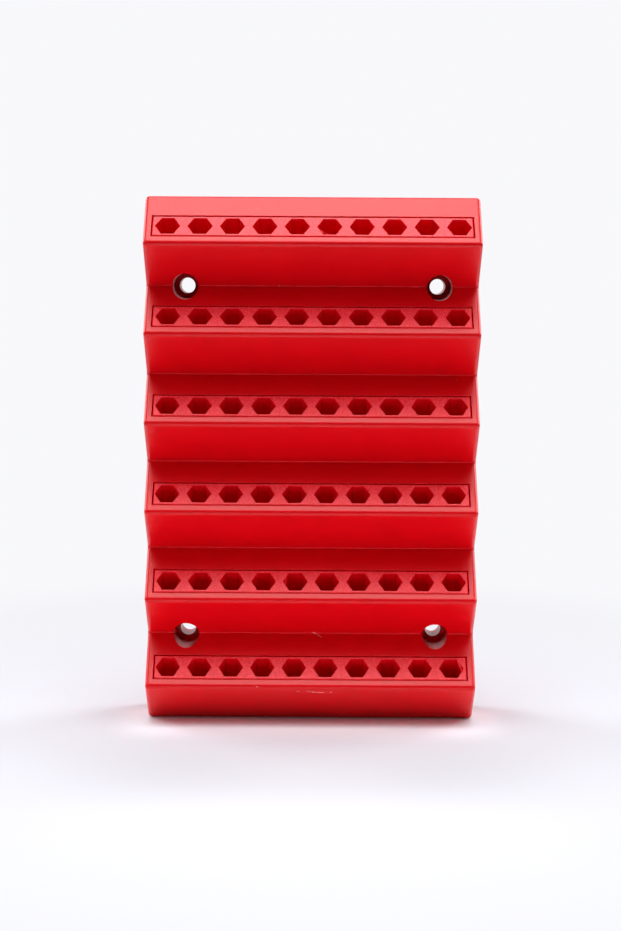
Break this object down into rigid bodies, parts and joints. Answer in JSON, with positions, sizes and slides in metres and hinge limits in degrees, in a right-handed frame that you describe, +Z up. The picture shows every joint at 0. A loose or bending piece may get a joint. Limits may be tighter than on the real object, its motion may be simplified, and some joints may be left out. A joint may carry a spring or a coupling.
{
  "type": "hex bit holder",
  "caption": "Stepped holder for quarter inch hex bits, with a drilled bit strip in each sloping ledge and counterbored screw holes for a wall or bench.",
  "frame": {"origin": "centre of the bounding box on the surface the base stands on", "axes": "+Z up, -Y towards the sockets and the viewer, +Y towards the flat back face, +X to the viewer's right"},
  "size_m": [0.1052, 0.031, 0.1667],
  "materials": {
    "moulded_body": "satin",
    "bit_strip": "matte, finely speckled"
  },
  "bodies": {
    "root": {"body": "moulded_body", "bit_strip_1": "bit_strip", "bit_strip_2": "bit_strip", "bit_strip_3": "bit_strip", "bit_strip_4": "bit_strip", "bit_strip_5": "bit_strip", "bit_strip_6": "bit_strip"}
  },
  "joints": []
}
